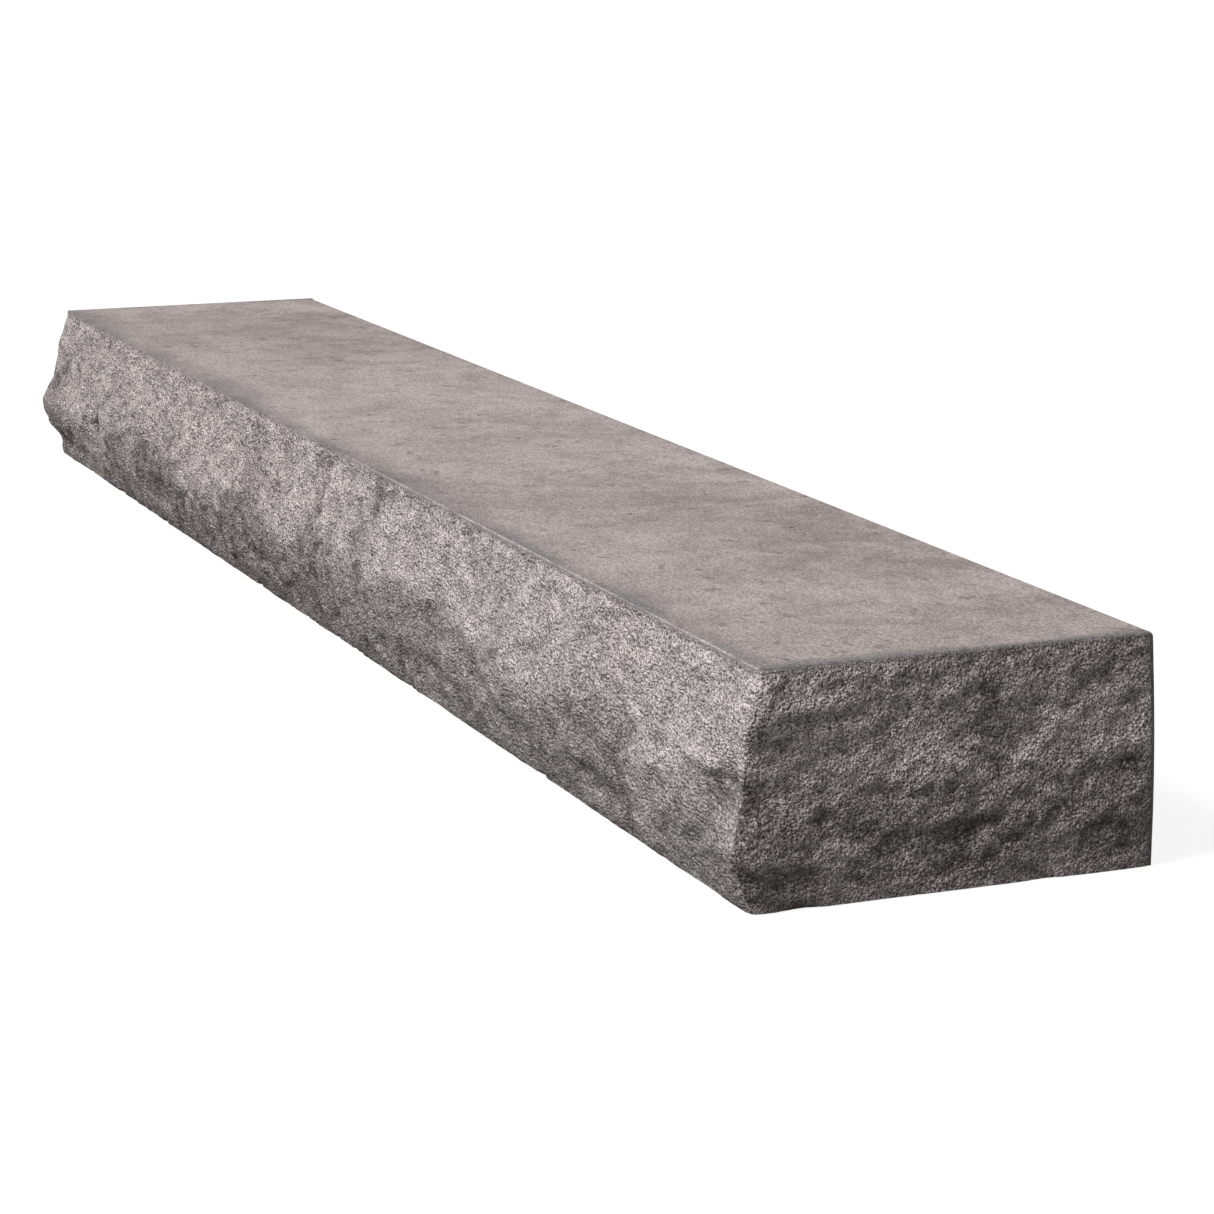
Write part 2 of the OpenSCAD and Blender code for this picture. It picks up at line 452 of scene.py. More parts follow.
class Effects:
    """The shader node groups that the finishes share."""

    def __init__(self) -> None:
        """Builds every group."""
        self.grain = self._mineral_grain()
        self.clouds = self._clouds()
        self.pinholes = self._pinholes()

    def _mineral_grain(self) -> EffectGroup:
        """Builds sand and stone grains: a shade, dark specks, light specks and a height.

        Returns:
            The group.
        """
        group = EffectGroup("mineral_grain",
                            {"Place": (VECTOR, None), "Grain Size": (FLOAT, 0.0016)},
                            {"Shade": FLOAT, "Dark Specks": FLOAT, "Light Specks": FLOAT,
                             "Height": FLOAT})
        w, given, made = group.open()
        place, size = given.outputs["Place"], given.outputs["Grain Size"]
        fine = w.noise(place, size, detail=1.5, roughness=0.55)
        coarse = w.noise(place, w.math("MULTIPLY", size, 3.1), detail=2.0, roughness=0.6)
        w.link(made.inputs["Shade"], w.math("ADD", w.math("MULTIPLY", fine, 0.78),
                                            w.math("MULTIPLY", coarse, 0.22)))
        grains = w.cells(place, w.math("MULTIPLY", size, 1.9))
        pick = w.add("ShaderNodeSeparateColor")
        w.link(pick.inputs[0], grains.outputs["Color"])
        near = w.ramp(grains.outputs["Distance"], 0.35, 0.55, 1.0, 0.0)
        dark = w.ramp(pick.outputs[0], 0.72, 0.80)
        light = w.ramp(pick.outputs[1], 0.74, 0.82)
        w.link(made.inputs["Dark Specks"], w.math("MULTIPLY", dark, near))
        w.link(made.inputs["Light Specks"], w.math("MULTIPLY", light, near))
        dome = w.ramp(grains.outputs["Distance"], 0.15, 0.80, 0.28, 0.0)
        waves = w.math("ADD", w.math("MULTIPLY", fine, 0.45), w.math("MULTIPLY", coarse, 0.9))
        w.link(made.inputs["Height"], w.math("ADD", waves, dome))
        return group

    def _clouds(self) -> EffectGroup:
        """Builds soft mottling in broad patches, from 0 to 1.

        Returns:
            The group.
        """
        group = EffectGroup("clouds",
                            {"Place": (VECTOR, None), "Patch Size": (FLOAT, 0.1),
                             "Threshold": (FLOAT, 0.5), "Softness": (FLOAT, 0.15)},
                            {"Mask": FLOAT})
        w, given, made = group.open()
        patches = w.noise(given.outputs["Place"], given.outputs["Patch Size"], detail=5.0,
                          roughness=0.58, stretch=0.35)
        low = w.math("SUBTRACT", given.outputs["Threshold"], given.outputs["Softness"])
        high = w.math("ADD", given.outputs["Threshold"], given.outputs["Softness"])
        w.link(made.inputs["Mask"], w.ramp(patches, low, high))
        return group

    def _pinholes(self) -> EffectGroup:
        """Builds scattered round air holes, 1 inside a hole.

        Returns:
            The group.
        """
        group = EffectGroup("pinholes",
                            {"Place": (VECTOR, None), "Spacing": (FLOAT, 0.02),
                             "Hole Share": (FLOAT, 0.1), "Scarcity": (FLOAT, 0.6)},
                            {"Mask": FLOAT})
        w, given, made = group.open()
        holes = w.cells(given.outputs["Place"], given.outputs["Spacing"])
        pick = w.add("ShaderNodeSeparateColor")
        w.link(pick.inputs[0], holes.outputs["Color"])
        radius = w.math("MULTIPLY", given.outputs["Hole Share"],
                        w.math("ADD", 0.4, pick.outputs[1]))
        inside = w.ramp(w.math("DIVIDE", holes.outputs["Distance"], radius), 0.7, 1.1, 1.0, 0.0)
        chosen = w.math("GREATER_THAN", pick.outputs[0], given.outputs["Scarcity"])
        w.link(made.inputs["Mask"], w.math("MULTIPLY", inside, chosen))
        return group


class Finish:
    """Base of the finishes: a material with one Principled shader."""

    def start(self, name: str, roughness: float) -> tuple[bpy.types.Material, Wiring,
                                                          bpy.types.Node]:
        """Makes the material.

        Args:
            name: the material's name.
            roughness: the shader's roughness before anything feeds it.

        Returns:
            The material, its wiring helper and its Principled shader.
        """
        material = bpy.data.materials.new(name)
        material.use_nodes = True
        material.node_tree.nodes.clear()
        wiring = Wiring(material.node_tree)
        shader = wiring.add("ShaderNodeBsdfPrincipled")
        shader.inputs["Roughness"].default_value = roughness
        output = wiring.add("ShaderNodeOutputMaterial")
        wiring.link(output.inputs["Surface"], shader.outputs[0])
        return material, wiring, shader

    def place(self, wiring: Wiring) -> bpy.types.NodeSocket:
        """Gives the place of each point in the unit's own frame."""
        return wiring.add("ShaderNodeTexCoord").outputs["Object"]

    def bump(self, wiring: Wiring, shader: bpy.types.Node, height: object,
             depth: float) -> None:
        """Roughens the surface.

        Args:
            wiring: the material's wiring helper.
            shader: the Principled shader.
            height: the height socket.
            depth: how deep a height of 1 is, in metres.
        """
        node = wiring.add("ShaderNodeBump")
        node.inputs["Strength"].default_value = 1.0
        node.inputs["Distance"].default_value = depth
        wiring.link(node.inputs["Height"], height)
        wiring.link(shader.inputs["Normal"], node.outputs["Normal"])


@dataclass(frozen=True)
class Mottle:
    """One layer of soft patches. The size is in metres and the share is its strength."""

    size: float
    threshold: float
    softness: float
    share: float = 1.0

    def mask(self, w: Wiring, effects: Effects, place: object,
             threshold: object = None) -> bpy.types.NodeSocket:
        """Puts the layer in a material.

        Args:
            w: the material's wiring helper.
            effects: the shared node groups.
            place: the place socket.
            threshold: a socket to use instead of the layer's own threshold.

        Returns:
            The layer's mask, from 0 to its share.
        """
        patches = effects.clouds.place(w, Place=place, Patch_Size=self.size,
                                       Threshold=self.threshold if threshold is None
                                       else threshold,
                                       Softness=self.softness)
        return w.math("MULTIPLY", patches.outputs["Mask"], self.share)


@dataclass(frozen=True)
class Pitting:
    """One layer of round air holes. The spacing is in metres."""

    spacing: float
    hole_share: float
    scarcity: float

    def mask(self, w: Wiring, effects: Effects, place: object) -> bpy.types.NodeSocket:
        """Puts the layer in a material.

        Args:
            w: the material's wiring helper.
            effects: the shared node groups.
            place: the place socket.

        Returns:
            The layer's mask, 1 inside a hole.
        """
        holes = effects.pinholes.place(w, Place=place, Spacing=self.spacing,
                                       Hole_Share=self.hole_share, Scarcity=self.scarcity)
        return holes.outputs["Mask"]


@dataclass(frozen=True)
class GrainTone:
    """How the grain darkens and lightens a colour: the shade's spread, and both limits."""

    spread: float
    darkest: float
    palest: float

    def over(self, w: Wiring, grain: bpy.types.Node, colour: object) -> bpy.types.NodeSocket:
        """Lays the grain over a colour.

        Args:
            w: the material's wiring helper.
            grain: the placed grain group.
            colour: the colour, as a socket or three numbers.

        Returns:
            The grainy colour.
        """
        tone = w.ramp(grain.outputs["Shade"], 0.5 - self.spread, 0.5 + self.spread,
                      self.darkest, self.palest)
        return w.mix(1.0, colour, w.grey(tone), "MULTIPLY")


@dataclass(frozen=True)
class CastConcrete(Finish):
    """Weathered grey concrete with a smooth top, broken rock faces and plain cast faces.

    The first five fields are the casting's own sizes, in metres. Rises and hole depths are in
    millimetres, and a foot is how much darker the bottom of the rock face is, partly as stain
    and partly as painted shade.
    """

    height: float
    front_y: float
    back_y: float
    mid_x: float
    half_length: float
    grain_size: float = 0.0012
    grain_stretch: float = 0.62
    top_pale: Colour = (0.431, 0.369, 0.353)
    top_brown: Colour = (0.255, 0.212, 0.200)
    top_fleck: Colour = (0.13, 0.105, 0.10)
    # painted shade: the dark band along the top's front and end rims
    rim_shade_blue: Colour = (0.172, 0.162, 0.164)
    rock_pale: Colour = (0.555, 0.492, 0.478)
    rock_dark: Colour = (0.132, 0.108, 0.102)
    dark_grain: Colour = (0.045, 0.040, 0.040)
    light_grain: Colour = (0.74, 0.69, 0.67)
    # painted highlight: the pale line along the front's rounded top arris
    arris_highlight: Colour = (0.60, 0.57, 0.565)
    strip_brown: Colour = (0.25, 0.205, 0.190)
    cast_grey: Colour = (0.40, 0.366, 0.350)
    cast_brown: Colour = (0.235, 0.205, 0.19)
    # painted shade inside the pits and air holes
    hole_shade: Colour = (0.03, 0.026, 0.025)
    top_tone: GrainTone = GrainTone(spread=0.13, darkest=0.66, palest=1.34)
    rock_tone: GrainTone = GrainTone(spread=0.12, darkest=0.35, palest=1.65)
    # grain over the painted arris highlight
    arris_highlight_tone: GrainTone = GrainTone(spread=0.12, darkest=0.65, palest=1.35)
    cast_tone: GrainTone = GrainTone(spread=0.15, darkest=0.74, palest=1.22)
    top_stains: tuple[Mottle, ...] = (Mottle(size=0.26, threshold=0.52, softness=0.15, share=0.42),
                                      Mottle(size=0.075, threshold=0.52, softness=0.11, share=0.34),
                                      Mottle(size=0.024, threshold=0.52, softness=0.10, share=0.30))
    top_flecks: Mottle = Mottle(size=0.013, threshold=0.64, softness=0.04, share=0.55)
    rock_patches: Mottle = Mottle(size=0.10, threshold=0.61, softness=0.12, share=0.57)
    rock_spots: Mottle = Mottle(size=0.024, threshold=0.53, softness=0.11, share=0.26)
    rock_crumbs: Mottle = Mottle(size=0.008, threshold=0.52, softness=0.12, share=0.16)
    cast_clouds: Mottle = Mottle(size=0.13, threshold=0.5, softness=0.2, share=0.70)
    cast_stains: Mottle = Mottle(size=0.028, threshold=0.58, softness=0.10, share=0.35)
    top_pits: Pitting = Pitting(spacing=0.055, hole_share=0.04, scarcity=0.5)
    rock_pits: Pitting = Pitting(spacing=0.011, hole_share=0.11, scarcity=0.70)
    small_holes: Pitting = Pitting(spacing=0.012, hole_share=0.13, scarcity=0.60)
    large_holes: Pitting = Pitting(spacing=0.040, hole_share=0.085, scarcity=0.45)
    # widths of the painted shade along the top's front and end rims, in metres
    front_shade_widths: tuple[float, float] = (0.014, 0.046)
    end_shade_widths: tuple[float, float] = (0.004, 0.020)
    # how much darker the bottom of the rock faces is, partly stain and partly painted shade
    far_foot_stain_and_shade: float = 0.12
    near_foot_stain_and_shade: float = 0.29
    near_end_foot_easing: float = 0.10
    # painted shade in low places and under the ends' arrises, painted light on ridges
    hollow_shade_share: float = 0.22
    strip_share: float = 0.55
    # strength of the painted highlight along the front arris
    arris_highlight_share: float = 0.9
    knobbly_rise: float = 2.3
    lumpy_rise: float = 1.0
    grain_rise: float = 2.7
    smooth_grain_rise: float = 0.12
    rock_pit_depth: float = 0.8
    air_hole_depth: float = 1.0

    def make(self, effects: Effects) -> bpy.types.Material:
        """Builds the material.

        Args:
            effects: the shared node groups.

        Returns:
            The material.
        """
        material, w, shader = self.start("weathered_concrete", 0.85)
        place = self.place(w)
        along = w.add("ShaderNodeVectorMath", operation="MULTIPLY")
        w.link(along.inputs[0], place)
        w.link(along.inputs[1], (self.grain_stretch, 1.0, 1.0))
        grain = effects.grain.place(w, Place=along.outputs[0], Grain_Size=self.grain_size)
        is_rock, is_cast = self._mask(w, "rock"), self._mask(w, "cast")
        top = self._top_colour(w, effects, place, grain)
        rock, holes = self._rock_colour(w, effects, place, grain)
        cast, air = self._cast_colour(w, effects, place, grain)
        colour = w.mix(is_rock, w.mix(is_cast, top, cast), rock)
        colour = w.mix(w.math("MULTIPLY", self._mask(w, "strip"), self.strip_share), colour,
                       self.strip_brown)
        # painted highlight along the front's rounded arris, broken here and there
        line = self.arris_highlight_tone.over(w, grain, self.arris_highlight)
        colour = w.mix(w.math("MULTIPLY", self._mask(w, "arris"), self.arris_highlight_share), colour, line)
        w.link(shader.inputs["Base Color"], colour)
        w.link(shader.inputs["Roughness"], w.ramp(grain.outputs["Shade"], 0.3, 0.7, 0.78, 0.95))
        self.bump(w, shader, self._height(w, place, grain, is_rock, is_cast, holes, air),
                  depth=0.001)
        return material

    def _mask(self, w: Wiring, name: str) -> bpy.types.NodeSocket:
        """Reads one of the masks that the casting's mesh carries."""
        return w.add("ShaderNodeAttribute", attribute_name=name).outputs["Fac"]

    def _height(self, w: Wiring, place: object, grain: bpy.types.Node, is_rock: object,
                is_cast: object, holes: object, air: object) -> bpy.types.NodeSocket:
        """Adds up the fine relief, in millimetres.

        Args:
            w: the material's wiring helper.
            place: the place socket.
            grain: the placed grain group.
            is_rock: mask of the broken faces.
            is_cast: mask of the cast faces.
            holes: mask of the holes in the broken faces.
            air: mask of the air holes in the cast faces.

        Returns:
            The height socket.
        """
        knobbly = w.noise(place, 0.0065, detail=4.0, roughness=0.70, stretch=0.4)
        lumpy = w.noise(place, 0.021, detail=2.0, roughness=0.55, stretch=0.3)
        rock = w.math("ADD", w.math("MULTIPLY", knobbly, self.knobbly_rise),
                      w.math("MULTIPLY", lumpy, self.lumpy_rise))
        rock = w.math("ADD", rock, w.math("MULTIPLY", grain.outputs["Height"], self.grain_rise))
        rock = w.math("SUBTRACT", rock, w.math("MULTIPLY", holes, self.rock_pit_depth))
        smooth = w.math("SUBTRACT",
                        w.math("MULTIPLY", grain.outputs["Height"], self.smooth_grain_rise),
                        w.math("MULTIPLY", w.math("MULTIPLY", air, is_cast),
                               self.air_hole_depth))
        return w.math("ADD", w.math("MULTIPLY", rock, is_rock), smooth)

    def _top_colour(self, w: Wiring, effects: Effects, place: object,
                    grain: bpy.types.Node) -> bpy.types.NodeSocket:
        """Colours the trowelled top: warm grey with clouds, flecks and painted shade on its rims.

        Args:
            w: the material's wiring helper.
            effects: the shared node groups.
            place: the place socket.
            grain: the placed grain group.

        Returns:
            The colour.
        """
        axes = w.add("ShaderNodeSeparateXYZ")
        w.link(axes.inputs[0], place)
        depth = w.ramp(axes.outputs["Y"], self.front_y, self.back_y, 0.75, 1.15)
        darker: object = 0.0
        for stain in self.top_stains:
            darker = w.math("ADD", darker, stain.mask(w, effects, place))
        darker = w.math("MULTIPLY", darker, depth, clamp=True)
        colour = w.mix(darker, self.top_pale, self.top_brown)
        colour = w.mix(self.top_flecks.mask(w, effects, place), colour, self.top_fleck)
        # painted shade along the top's front and end rims
        colour = w.mix(self._rim_shade(w, place, axes), colour, self.rim_shade_blue)
        colour = self.top_tone.over(w, grain, colour)
        # painted shade in the top's pits
        return w.mix(self.top_pits.mask(w, effects, place), colour, self.hole_shade)

    def _rim_shade(self, w: Wiring, place: object, axes: bpy.types.Node) -> bpy.types.NodeSocket:
        """Finds the painted shade on the top's rims: wide and soft in front, narrow at the ends.

        Args:
            w: the material's wiring helper.
            place: the place socket.
            axes: the node that splits the place into X, Y and Z.

        Returns:
            The mask of the painted rim shade.
        """
        width = w.ramp(w.noise(place, 0.14), 0.35, 0.65, *self.front_shade_widths)
        inward = w.math("SUBTRACT", axes.outputs["Y"], self.front_y)
        front = w.math("SUBTRACT", 1.0, w.math("DIVIDE", inward, width), clamp=True)
        front = w.math("MULTIPLY", front, w.ramp(w.noise(place, 0.11), 0.35, 0.6, 0.45, 1.0))
        along = w.math("ABSOLUTE", w.math("SUBTRACT", axes.outputs["X"], self.mid_x))
        inward = w.math("SUBTRACT", self.half_length, along)
        width = w.ramp(w.noise(place, 0.09), 0.35, 0.65, *self.end_shade_widths)
        end = w.math("SUBTRACT", 1.0, w.math("DIVIDE", inward, width), clamp=True)
        return w.math("MAXIMUM", w.math("MULTIPLY", front, 0.95), w.math("MULTIPLY", end, 0.9))

    def _rock_colour(self, w: Wiring, effects: Effects, place: object, grain: bpy.types.Node
                     ) -> tuple[bpy.types.NodeSocket, bpy.types.NodeSocket]:
        """Colours the broken faces: pale above, darker patches below from stain and painted shade.

        Args:
            w: the material's wiring helper.
            effects: the shared node groups.
            place: the place socket.
            grain: the placed grain group.

        Returns:
            The colour, and the mask of the small holes.
        """
        axes = w.add("ShaderNodeSeparateXYZ")
        w.link(axes.inputs[0], place)
        # darker towards the bottom of the rock faces, partly as stain and partly as painted shade,
        # a little less at the near end
        foot = w.ramp(axes.outputs["X"], self.mid_x - self.half_length, self.mid_x,
                      self.far_foot_stain_and_shade, self.near_foot_stain_and_shade)
        near_end = self.mid_x + self.half_length
        near_end_easing = w.ramp(axes.outputs["X"], near_end - 0.020, near_end, 0.0,
                         self.near_end_foot_easing)
        foot = w.math("SUBTRACT", foot, near_end_easing)
        low = w.ramp(axes.outputs["Z"], 0.62 * self.height, 0.28 * self.height, 0.0, foot)
        threshold = w.math("SUBTRACT", self.rock_patches.threshold, low)
        dark = w.total(self.rock_patches.mask(w, effects, place, threshold),
                       self.rock_spots.mask(w, effects, place),
                       self.rock_crumbs.mask(w, effects, place),
                       # painted shade in low places and under the ends' arrises, painted light on
                       # ridges
                       w.math("MULTIPLY", self._mask(w, "hollow"), self.hollow_shade_share))
        colour = self.rock_tone.over(w, grain, w.mix(dark, self.rock_pale, self.rock_dark))
        colour = w.mix(w.math("MULTIPLY", grain.outputs["Dark Specks"], 0.65), colour,
                       self.dark_grain)
        colour = w.mix(w.math("MULTIPLY", grain.outputs["Light Specks"], 0.55), colour,
                       self.light_grain)
        mask = self.rock_pits.mask(w, effects, place)
        # painted shade in the rock faces' pits
        return w.mix(w.math("MULTIPLY", mask, 0.85), colour, self.hole_shade), mask

    def _cast_colour(self, w: Wiring, effects: Effects, place: object, grain: bpy.types.Node
                     ) -> tuple[bpy.types.NodeSocket, bpy.types.NodeSocket]:
        """Colours the back and bed as they leave the mould.

        Args:
            w: the material's wiring helper.
            effects: the shared node groups.
            place: the place socket.
            grain: the placed grain group.

        Returns:
            The colour, and the mask of the air holes.
        """
        colour = w.mix(self.cast_clouds.mask(w, effects, place), self.cast_grey, self.cast_brown)
        colour = w.mix(self.cast_stains.mask(w, effects, place), colour, self.cast_brown)
        colour = self.cast_tone.over(w, grain, colour)
        mask = w.math("MAXIMUM", self.small_holes.mask(w, effects, place),
                      self.large_holes.mask(w, effects, place))
        # painted shade in the cast faces' air holes
        return w.mix(w.math("MULTIPLY", mask, 0.6), colour, self.hole_shade), mask


@dataclass(frozen=True)
class BlockConcrete(Finish):
    """Dense paler mortar of the cover blocks."""

    pale: Colour = (0.42, 0.41, 0.38)
    brown: Colour = (0.29, 0.275, 0.25)
    dark_grain: Colour = (0.08, 0.075, 0.07)
    grain_size: float = 0.0012
    clouds: Mottle = Mottle(size=0.03, threshold=0.5, softness=0.2, share=0.4)

    def make(self, effects: Effects) -> bpy.types.Material:
        """Builds the material.

        Args:
            effects: the shared node groups.

        Returns:
            The material.
        """
        material, w, shader = self.start("block_mortar", 0.9)
        place = self.place(w)
        grain = effects.grain.place(w, Place=place, Grain_Size=self.grain_size)
        colour = w.mix(self.clouds.mask(w, effects, place), self.pale, self.brown)
        colour = w.mix(w.math("MULTIPLY", grain.outputs["Dark Specks"], 0.6), colour,
                       self.dark_grain)
        w.link(shader.inputs["Base Color"], colour)
        w.link(shader.inputs["Roughness"], w.ramp(grain.outputs["Shade"], 0.3, 0.7, 0.8, 0.97))
        self.bump(w, shader, grain.outputs["Height"], depth=0.0004)
        return material


class SteelKind(Enum):
    """The states that the unit's steel comes in."""

    BLACK_BAR = "black_bar"
    HOOP_WIRE = "hoop_wire"
    ANNEALED = "annealed"
    ZINC = "zinc"


@dataclass(frozen=True)
class Steel(Finish):
    """Bar, wire or plated steel with mill scale, rust bloom and a drawn or ribbed surface.

    The ribs, drawing marks or thread are rings along the piece: ring_spacing apart and
    ring_depth deep, in metres.
    """

    kind: SteelKind
    clean: Colour
    rust: Colour
    rust_share: float
    roughness: float
    ring_spacing: float
    ring_depth: float
    scale_dark: Colour = (0.03, 0.026, 0.024)
    grain_size: float = 0.0007
    bloom_size: float = 0.018
    relief_depth: float = 0.0003

    def make(self, effects: Effects) -> bpy.types.Material:
        """Builds the material.

        Args:
            effects: the shared node groups.

        Returns:
            The material.
        """
        material, w, shader = self.start(f"steel_{self.kind.value}", self.roughness)
        place = self.place(w)
        bloom = Mottle(size=self.bloom_size, threshold=1 - self.rust_share, softness=0.2)
        rusty = bloom.mask(w, effects, place)
        grain = effects.grain.place(w, Place=place, Grain_Size=self.grain_size)
        colour = w.mix(rusty, self.clean, self.rust)
        colour = w.mix(w.math("MULTIPLY", grain.outputs["Dark Specks"], 0.5), colour,
                       self.scale_dark)
        w.link(shader.inputs["Base Color"], colour)
        w.link(shader.inputs["Metallic"], w.ramp(rusty, 0.0, 1.0, 0.9, 0.1))
        w.link(shader.inputs["Roughness"],
               w.ramp(rusty, 0.0, 1.0, self.roughness, min(0.95, self.roughness + 0.4)))
        axes = w.add("ShaderNodeSeparateXYZ")
        w.link(axes.inputs[0], place)
        along = axes.outputs["Y"] if self.kind is SteelKind.ZINC else axes.outputs["X"]
        ring = w.math("PINGPONG", along, self.ring_spacing / 2)
        ring = w.ramp(ring, 0.0, self.ring_spacing / 2)
        height = w.math("ADD", w.math("MULTIPLY", ring, self.ring_depth / self.relief_depth),
                        w.math("MULTIPLY", grain.outputs["Height"], 0.4))
        self.bump(w, shader, height, self.relief_depth)
        return material


# ---- the casting -------------------------------------------------------------------


@dataclass
class Cutter:
    """Builds the solid that is cut out of the casting: socket recesses and block pockets."""

    mesh: bmesh.types.BMesh = field(default_factory=bmesh.new)

    def lathe(self, x: float, z: float, profile: list[tuple[float, float]],
              sides: int = 48) -> None:
        """Adds a turned solid with its axis along Y.

        Args:
            x: the axis's place along the unit.
            z: the axis's height.
            profile: (radius, y) pairs from the outside in.
            sides: how many facets go round.
        """
        rings = []
        for radius, y in profile:
            rings.append([self.mesh.verts.new((x + radius * math.cos(a), y,
                                               z + radius * math.sin(a)))
                          for a in (2 * math.pi * k / sides for k in range(sides))])
        for first, second in zip(rings, rings[1:]):
            for k in range(sides):
                m = (k + 1) % sides
                self.mesh.faces.new((first[k], first[m], second[m], second[k]))
        self.mesh.faces.new(list(reversed(rings[0])))
        self.mesh.faces.new(rings[-1])

    def pocket(self, centre: Vector, width: float, depth: float) -> None:
        """Adds a square pocket that opens downwards.

        Args:
            centre: middle of the pocket's mouth, on the bed.
            width: side of the square.
            depth: how far up it reaches.
        """
        half = width / 2
        below = -width / 4
        corners = [(-half, -half), (half, -half), (half, half), (-half, half)]
        low = [self.mesh.verts.new((centre.x + x, centre.y + y, below)) for x, y in corners]
        high = [self.mesh.verts.new((centre.x + x, centre.y + y, depth)) for x, y in corners]
        for k in range(4):
            m = (k + 1) % 4
            self.mesh.faces.new((low[k], low[m], high[m], high[k]))
        self.mesh.faces.new(list(reversed(low)))
        self.mesh.faces.new(high)

    def to_object(self, name: str) -> bpy.types.Object:
        """Turns the solid into an object whose faces leave a cast finish where they cut.

        Args:
            name: the object's name.

        Returns:
            The object.
        """
        bmesh.ops.recalc_face_normals(self.mesh, faces=self.mesh.faces)
        data = bpy.data.meshes.new(name)
        self.mesh.to_mesh(data)
        self.mesh.free()
        layer = data.attributes.new("cast", "FLOAT", "POINT")
        layer.data.foreach_set("value", np.ones(len(data.vertices), dtype=np.float32))
        return bpy.data.objects.new(name, data)


class Side(Enum):
    """The four sides of the casting, in the order that a ring runs round them."""

    FRONT = 0
    RIGHT_END = 1
    BACK = 2
    LEFT_END = 3


@dataclass(frozen=True)
class Arris:
    """How the top edge of one side is eased, in metres."""

    drop: float
    ease: float
    strip: float


@dataclass
class Skin:
    """The places of one ring round the casting, and what changes from place to place."""

    length: float
    depth: float
    grid: float
    arrises: dict[Side, Arris]
    side: np.ndarray = field(init=False)
    share: np.ndarray = field(init=False)
    s: np.ndarray = field(init=False)
    drop: np.ndarray = field(init=False)

    def __post_init__(self) -> None:
        """Lays out the places anticlockwise from the left end of the front."""
        columns, rows = round(self.length / self.grid), round(self.depth / self.grid)
        counts = {Side.FRONT: columns, Side.RIGHT_END: rows,
                  Side.BACK: columns // 4, Side.LEFT_END: rows}
        self.side = np.concatenate([np.full(n, k.value) for k, n in counts.items()])
        self.share = np.concatenate([np.arange(n) / n for n in counts.values()])
        half = self.length / 2
        self.s = np.select(
            [self.on(Side.FRONT), self.on(Side.RIGHT_END), self.on(Side.BACK)],
            [(self.share - 0.5) * self.length, half + self.share * self.depth, 0 * self.share],
            -half - (1 - self.share) * self.depth)
        self.drop = self._along({side: arris.drop for side, arris in self.arrises.items()})

    def on(self, side: Side) -> np.ndarray:
        """Tells which places are on a side."""
        return self.side == side.value

    def ends(self) -> np.ndarray:
        """Tells which places are on either end."""
        return self.on(Side.RIGHT_END) | self.on(Side.LEFT_END)

    def first(self, side: Side) -> int:
        """Gives the place at which a side starts."""
        return int(np.argmax(self.on(side)))

    def from_back(self) -> np.ndarray:
        """Gives how far each place on an end lies from the back face."""
        share = np.where(self.on(Side.RIGHT_END), 1 - self.share, self.share)
        return share * self.depth

    def _along(self, values: dict[Side, float]) -> np.ndarray:
        """Spreads a value for each side over the places, eased across the corners.

        Args:
            values: each side's value.

        Returns:
            The value at each place.
        """
        line = np.select([self.on(side) for side in values], list(values.values()))
        for _ in range(3):
            line = (np.roll(line, 1) + line + np.roll(line, -1)) / 3
        return line


